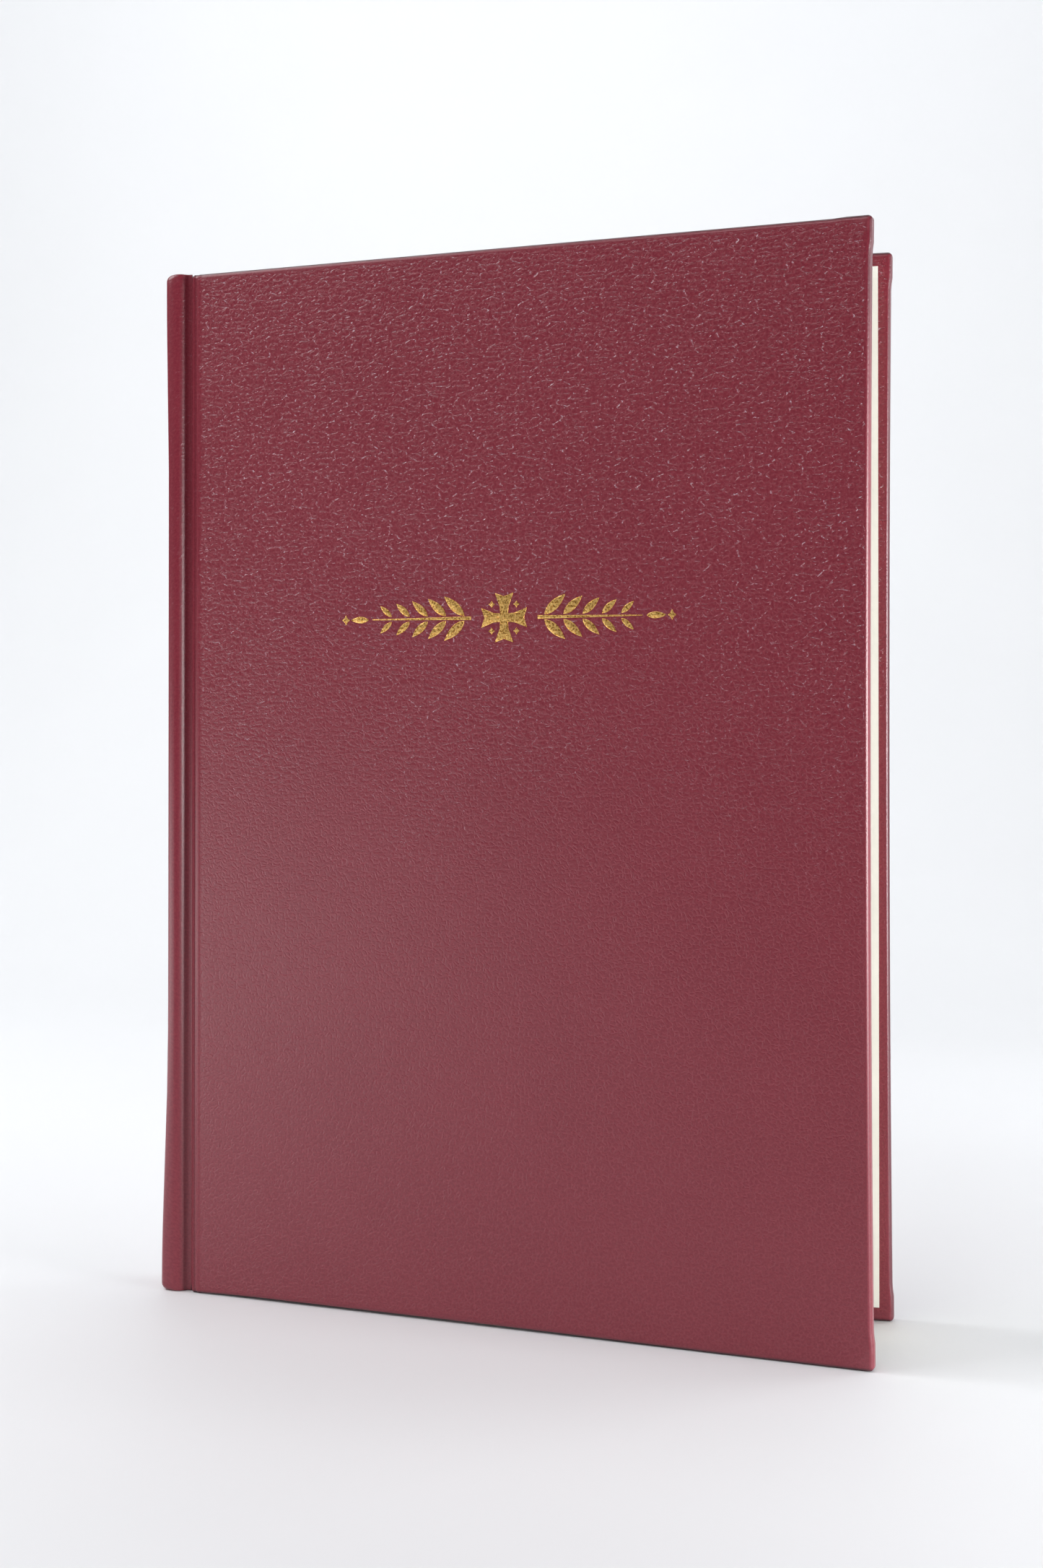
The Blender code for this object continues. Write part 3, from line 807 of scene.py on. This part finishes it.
def build_ornament(material):
    """The cross and its two sprays, as far along the cover as the CAD model's gilt nodes."""
    low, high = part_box("gilt_cross")
    height = high.z - low.z
    middle_z = (high.z + low.z) / 2
    cover_hinge = Vector(joints["front_cover_hinge"]["pos_m"])
    middle = (low + high) / 2 - cover_hinge
    middle_x = math.hypot(middle.x, middle.y)
    spray_low, spray_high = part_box("gilt_right_spray")
    turn = rest_turn("front_cover_hinge") + rest_turn("front_joint_hinge")
    length = (spray_high.x - spray_low.x) / math.cos(turn)
    gap = (spray_low.x - (low.x + high.x) / 2) / math.cos(turn)
    gilt_piece("gilt_cross", cross_outlines(height), "gilt_cross", (middle_x, middle_z), material)
    for name, facing in (("gilt_left_spray", -1), ("gilt_right_spray", 1)):
        centre = (middle_x + facing * gap, middle_z)
        gilt_piece(name, spray_outlines(length, height, facing), name, centre, material)


# ---------------------------------------------------------------- materials

class Recipe:
    """A material's nodes, added and joined in a line or two each. Scales are features a metre."""

    def __init__(self, name, on_skin=False):
        self.material = bpy.data.materials.new(name)
        self.material.use_nodes = True
        self.tree = self.material.node_tree
        self.shader = self.tree.nodes["Principled BSDF"]
        if on_skin:
            self.place = self.add("ShaderNodeUVMap", uv_map="skin").outputs[0]
        else:
            self.place = self.add("ShaderNodeTexCoord").outputs["Object"]

    def add(self, kind, **settings):
        """A new node with these settings."""
        node = self.tree.nodes.new(kind)
        for key, value in settings.items():
            setattr(node, key, value)
        return node

    def feed(self, socket, value):
        """Link a socket to an output, or set it to a value."""
        if isinstance(value, bpy.types.NodeSocket):
            self.tree.links.new(value, socket)
        elif value is not None:
            socket.default_value = value

    def noise(self, scale, detail=3.0, rough=0.5, vector=None):
        """Soft random values round 0.5."""
        node = self.add("ShaderNodeTexNoise")
        self.feed(node.inputs["Vector"], vector or self.place)
        node.inputs["Scale"].default_value = scale
        node.inputs["Detail"].default_value = detail
        node.inputs["Roughness"].default_value = rough
        return node.outputs["Fac"]

    def cells(self, scale, vector):
        """Distance to the nearest border of flat random cells."""
        node = self.add("ShaderNodeTexVoronoi", voronoi_dimensions="2D", feature="DISTANCE_TO_EDGE")
        self.feed(node.inputs["Vector"], vector)
        node.inputs["Scale"].default_value = scale
        return node.outputs["Distance"]

    def wave(self, scale, direction, distortion=0.0):
        """Even bands across one axis."""
        node = self.add("ShaderNodeTexWave", bands_direction=direction)
        self.feed(node.inputs["Vector"], self.place)
        node.inputs["Scale"].default_value = scale
        node.inputs["Distortion"].default_value = distortion
        return node.outputs["Fac"]

    def math(self, operation, a, b):
        node = self.add("ShaderNodeMath", operation=operation)
        self.feed(node.inputs[0], a)
        self.feed(node.inputs[1], b)
        return node.outputs[0]

    def remap(self, value, low, high, to_low=0.0, to_high=1.0):
        """Smooth step of a value from one range to another."""
        node = self.add("ShaderNodeMapRange", interpolation_type="SMOOTHSTEP")
        for socket, number in zip(node.inputs, (value, low, high, to_low, to_high)):
            self.feed(socket, number)
        return node.outputs[0]

    def mix(self, amount, a, b):
        node = self.add("ShaderNodeMix", data_type="RGBA")
        self.feed(node.inputs["Factor"], amount)
        self.feed(node.inputs["A"], (*a, 1.0) if isinstance(a, tuple) else a)
        self.feed(node.inputs["B"], (*b, 1.0) if isinstance(b, tuple) else b)
        return node.outputs["Result"]

    def stretched(self, x=1.0, y=1.0, z=1.0):
        """The position with its axes scaled."""
        node = self.add("ShaderNodeMapping")
        self.feed(node.inputs["Vector"], self.place)
        node.inputs["Scale"].default_value = (x, y, z)
        return node.outputs[0]

    def warped(self, scale, amount, vector=None):
        """The position, pushed about by a noise."""
        source = self.add("ShaderNodeTexNoise")
        self.feed(source.inputs["Vector"], vector or self.place)
        source.inputs["Scale"].default_value = scale
        centred = self.add("ShaderNodeVectorMath", operation="SUBTRACT")
        self.feed(centred.inputs[0], source.outputs["Color"])
        centred.inputs[1].default_value = (0.5, 0.5, 0.5)
        scaled = self.add("ShaderNodeVectorMath", operation="SCALE")
        self.feed(scaled.inputs[0], centred.outputs[0])
        scaled.inputs["Scale"].default_value = amount
        total = self.add("ShaderNodeVectorMath", operation="ADD")
        self.feed(total.inputs[0], vector or self.place)
        self.feed(total.inputs[1], scaled.outputs[0])
        return total.outputs[0]

    def attribute(self, name):
        """A number that paint() stored."""
        return self.add("ShaderNodeAttribute", attribute_name=name).outputs["Fac"]

    def bump(self, height, distance, strength=1.0):
        node = self.add("ShaderNodeBump")
        self.feed(node.inputs["Height"], height)
        node.inputs["Distance"].default_value = distance
        node.inputs["Strength"].default_value = strength
        return node.outputs[0]

    def finish(self, colour, roughness, normal, **values):
        """Join the shader's inputs, set its other values and hand back the material."""
        self.feed(self.shader.inputs["Base Color"], colour)
        self.feed(self.shader.inputs["Roughness"], roughness)
        self.feed(self.shader.inputs["Normal"], normal)
        for name, value in values.items():
            self.shader.inputs[name.replace("_", " ")].default_value = value
        return self.material


def grain(r):
    """The leather's grain: its lines, the glossy nicks along them that also carry painted glints, its
    height and its pores.

    The hide is coarser towards the head of the book, and its creases run mostly across.
    """
    place = r.warped(480.0, 0.7 * MM, r.warped(100.0, 1.8 * MM, r.stretched(x=0.46, y=1.4)))
    loose = r.warped(700.0, 0.8 * MM, r.warped(130.0, 2.2 * MM))
    up = r.add("ShaderNodeSeparateXYZ")
    r.feed(up.inputs[0], r.place)
    patches = r.math("MULTIPLY", r.noise(22.0, 2.0), 0.6)
    hide = r.math("ADD", patches, r.math("DIVIDE", up.outputs["Y"], HEIGHT))
    coarse_share = r.remap(hide, 0.52, 1.10)
    coarse = r.cells(560.0, place)
    fine = r.cells(1000.0, loose)
    dashes = r.remap(r.noise(1200.0, 2.0), 0.48, 0.62)
    crease = r.math("MULTIPLY", r.remap(coarse, 0.0, 0.10, 1.0, 0.0), dashes)
    crease = r.math("MULTIPLY", crease, coarse_share)
    hair = r.remap(fine, 0.0, 0.26, 0.38, 0.0)
    hair = r.math("MULTIPLY", hair, r.remap(r.noise(900.0, 2.0), 0.34, 0.6))
    line = r.math("MAXIMUM", crease, hair)
    # glossy nicks along the creases; the same mask paints whitish glints into the leather's colour
    nicks_and_painted_glints = r.math("MULTIPLY", r.math("POWER", crease, 1.5), r.remap(r.noise(2300.0), 0.48, 0.60))
    pores = r.noise(1900.0, 4.0, 0.65)
    dome = r.math("MULTIPLY", r.remap(coarse, 0.0, 0.5, 0.0, 0.4), coarse_share)
    rise = r.math("ADD", dome, r.math("MULTIPLY", pores, 0.5))
    return line, nicks_and_painted_glints, r.math("SUBTRACT", rise, line), pores


def leather_material():
    """Burgundy leather whose creases are a little lighter, partly a worn finish and partly painted
    highlight where their ridges catch light, with painted glints near the head and painted shade on
    its edges.
    """
    r = Recipe("burgundy_leather", on_skin=True)
    line, nicks_and_painted_glints, height, pores = grain(r)
    raised = r.remap(r.attribute("pressed"), 0.0, 1.0, 1.0, 0.12)
    line, nicks_and_painted_glints, height = [r.math("MULTIPLY", part, raised) for part in (line, nicks_and_painted_glints, height)]
    broad = r.noise(30.0, 2.0)
    colour = r.mix(r.remap(broad, 0.3, 0.7), (0.184, 0.0172, 0.0318), (0.194, 0.0190, 0.0342))
    colour = r.mix(r.remap(pores, 0.38, 0.64, 0.0, 0.5), colour, (0.268, 0.0410, 0.0560))
    # lighter crease lines: partly a worn finish, partly painted highlight where the ridges catch light
    colour = r.mix(r.math("MULTIPLY", line, 0.46), colour, (0.36, 0.088, 0.110))
    # painted glints: a whitish colour along the nicks stands in for highlights
    colour = r.mix(r.math("MULTIPLY", nicks_and_painted_glints, 0.8), colour, (0.58, 0.41, 0.49))
    wear = r.math("MULTIPLY", r.attribute("wear"), r.remap(r.noise(380.0, 4.0), 0.35, 0.75))
    colour = r.mix(r.math("MULTIPLY", wear, 0.5), colour, (0.34, 0.10, 0.12))
    # painted shade: the edges turn near-black where less light falls on them
    colour = r.mix(r.math("MULTIPLY", r.attribute("painted_shade"), 0.8), colour, (0.030, 0.006, 0.012))
    roughness = r.remap(r.math("SUBTRACT", pores, nicks_and_painted_glints), 0.0, 0.7, 0.24, 0.34)
    normal = r.bump(height, 0.10 * MM, 1.0)
    return r.finish(colour, roughness, normal, Specular_IOR_Level=0.53)


def paper_material(name, light, dark):
    """Uncoated paper: faint fibre cloud and a fine tooth."""
    r = Recipe(name)
    fibres = r.noise(1400.0, 4.0, 0.65, r.warped(700.0, 0.8 * MM, r.stretched(z=0.35)))
    cloud = r.noise(60.0, 2.0)
    colour = r.mix(r.remap(r.math("ADD", fibres, cloud), 0.7, 1.3), dark, light)
    roughness = r.remap(fibres, 0.3, 0.7, 0.72, 0.86)
    return r.finish(colour, roughness, r.bump(fibres, 0.02 * MM, 0.35), Specular_IOR_Level=0.3)


def board_material():
    """Grey bookbinding board with flecks of recycled fibre."""
    r = Recipe("greyboard")
    flecks = r.remap(r.noise(1800.0, 3.0), 0.58, 0.7)
    colour = r.mix(r.noise(300.0, 4.0), (0.24, 0.22, 0.19), (0.36, 0.33, 0.28))
    colour = r.mix(flecks, colour, (0.12, 0.11, 0.10))
    return r.finish(colour, 0.92, r.bump(r.noise(2200.0, 4.0), 0.06 * MM, 0.5))


def woven_material(name, thread, light, dark, gap):
    """Plain weave of threads that run along Y and Z. A wave is about two threads wide."""
    r = Recipe(name)
    scale = 1.0 / (6.0 * thread)
    across = r.wave(scale, "Y", 0.6)
    up = r.wave(scale, "Z", 0.6)
    weave = r.math("MAXIMUM", across, up)
    colour = r.mix(r.remap(weave, gap, 0.9), dark, light)
    return r.finish(colour, 0.9, r.bump(weave, 0.08 * MM, 0.7))


def silk_material():
    """Silk wound in ivory and burgundy, with a soft shine."""
    r = Recipe("wound_silk")
    stripes = r.remap(r.wave(115.0, "Y"), 0.45, 0.55)
    strands = r.noise(3800.0, 2.0, 0.5, r.stretched(y=2.5))
    colour = r.mix(stripes, (0.23, 0.035, 0.05), (0.80, 0.75, 0.62))
    return r.finish(colour, r.remap(strands, 0.3, 0.7, 0.35, 0.5),
                    r.bump(strands, 0.03 * MM, 0.5), Sheen_Weight=0.3)


def gold_material():
    """Hot-stamped foil that the grain shows through, with small breaks."""
    r = Recipe("gold_foil", on_skin=True)
    line, _, height, _ = grain(r)
    mottle = r.noise(2100.0, 3.0)
    breaks = r.remap(r.math("ADD", line, mottle), 1.0, 1.35)
    colour = r.mix(r.remap(mottle, 0.36, 0.62), (0.66, 0.32, 0.065), (1.0, 0.64, 0.21))
    colour = r.mix(r.math("MULTIPLY", breaks, 0.6), colour, (0.26, 0.10, 0.03))
    roughness = r.remap(mottle, 0.3, 0.7, 0.24, 0.40)
    return r.finish(colour, roughness, r.bump(height, 0.05 * MM, 0.8), Metallic=0.75)


def floor_material():
    """Matte white studio paper."""
    r = Recipe("studio_paper")
    colour = r.mix(r.noise(9.0, 2.0), (0.825, 0.84, 0.865), (0.845, 0.86, 0.885))
    return r.finish(colour, 0.6, r.bump(r.noise(600.0, 3.0), 0.05 * MM, 0.2))


def dress_cad_nodes(board, gauze, linen, lining):
    """Better materials on the CAD nodes that stay."""
    dressed = {"spine_inlay": board, "mull_gauze": gauze, "spine_lining_paper": lining}
    for name, obj in frame["nodes"].items():
        if name.startswith(("sewing_tape", "kettle_stitch")):
            dressed[name] = linen
        if name in dressed:
            obj.data.materials.clear()
            obj.data.materials.append(dressed[name])


# ---------------------------------------------------------------- stage, light, camera

def build_stage(material):
    """A floor that curves up into a backdrop."""
    profile = [(STAGE_NEAR, 0.0)]
    for angle in np.linspace(0.0, math.pi / 2, 17):
        profile.append((STAGE_FAR - STAGE_BEND * (1.0 - math.sin(angle)),
                        STAGE_BEND * (1.0 - math.cos(angle))))
    profile.append((STAGE_FAR, STAGE_TOP))
    points = [(x, y, z) for y, z in profile for x in (-STAGE_SIDE, STAGE_SIDE)]
    faces = [(2 * i, 2 * i + 1, 2 * i + 3, 2 * i + 2) for i in range(len(profile) - 1)]
    floor = new_object("studio_floor", points, faces, material, 40.0)


def add_area_light(name, place, target, size, power):
    """A white rectangular light that faces its target."""
    data = bpy.data.lights.new(name, "AREA")
    data.shape = "RECTANGLE"
    data.size, data.size_y = size
    data.energy = power
    lamp = bpy.data.objects.new(name, data)
    bpy.context.scene.collection.objects.link(lamp)
    lamp.location = place
    lamp.rotation_euler = (Vector(target) - Vector(place)).to_track_quat("-Z", "Y").to_euler()


def build_light():
    """Softboxes, low strips, washes on the backdrop, and a world that only the camera sees as pale."""
    for light in LIGHTS:
        add_area_light(*light)
    world_light = bpy.data.worlds.new("studio")
    world_light.use_nodes = True
    nodes, links = world_light.node_tree.nodes, world_light.node_tree.links
    background = nodes["Background"]
    background.inputs["Color"].default_value = (0.97, 0.98, 1.0, 1.0)
    ray, strength = nodes.new("ShaderNodeLightPath"), nodes.new("ShaderNodeMapRange")
    strength.inputs["To Min"].default_value = WORLD_LIGHT
    strength.inputs["To Max"].default_value = WORLD_SEEN
    links.new(ray.outputs["Is Camera Ray"], strength.inputs["Value"])
    links.new(strength.outputs["Result"], background.inputs["Strength"])
    bpy.context.scene.world = world_light
    bpy.context.scene.view_settings.view_transform = "Standard"


def build_camera():
    """Right of the book and a little above its middle, looking slightly left and up."""
    data = bpy.data.cameras.new("camera")
    data.sensor_width = 36.0
    data.lens = CAMERA_LENS
    data.shift_x, data.shift_y = CAMERA_SHIFT
    data.clip_start = 0.05
    camera = bpy.data.objects.new("camera", data)
    bpy.context.scene.collection.objects.link(camera)
    camera.location = world(*CAMERA_PLACE)
    camera.rotation_euler = [math.radians(angle) for angle in CAMERA_TURN]
    bpy.context.scene.camera = camera


# ---------------------------------------------------------------- the book

build_camera()
build_light()
build_stage(floor_material())
leather = leather_material()
page = paper_material("page_paper", (0.86, 0.82, 0.70), (0.82, 0.775, 0.645))
endpaper = paper_material("endpaper", (0.90, 0.89, 0.845), (0.87, 0.86, 0.81))
linen = woven_material("linen", 0.35 * MM, (0.74, 0.68, 0.55), (0.42, 0.37, 0.28), 0.3)
gauze = woven_material("gauze", 0.9 * MM, (0.80, 0.77, 0.68), (0.35, 0.32, 0.26), 0.5)
board = board_material()
dress_cad_nodes(board, gauze, linen, endpaper)
gold = gold_material()
silk = silk_material()
for side in (FRONT, BACK):
    build_cover_skin(side, leather)
    build_board(side, board)
    spine_half = build_spine_skin(side, leather)
    build_pastedown(side, endpaper)
    build_endpaper_fold(side, endpaper)
    build_flyleaf(side, endpaper)
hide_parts("spine_leather")
for number in range(1, GATHERINGS + 1):
    build_gathering(number, page)
for name in ("headband", "tailband"):
    build_band(name, silk)
build_ornament(gold)
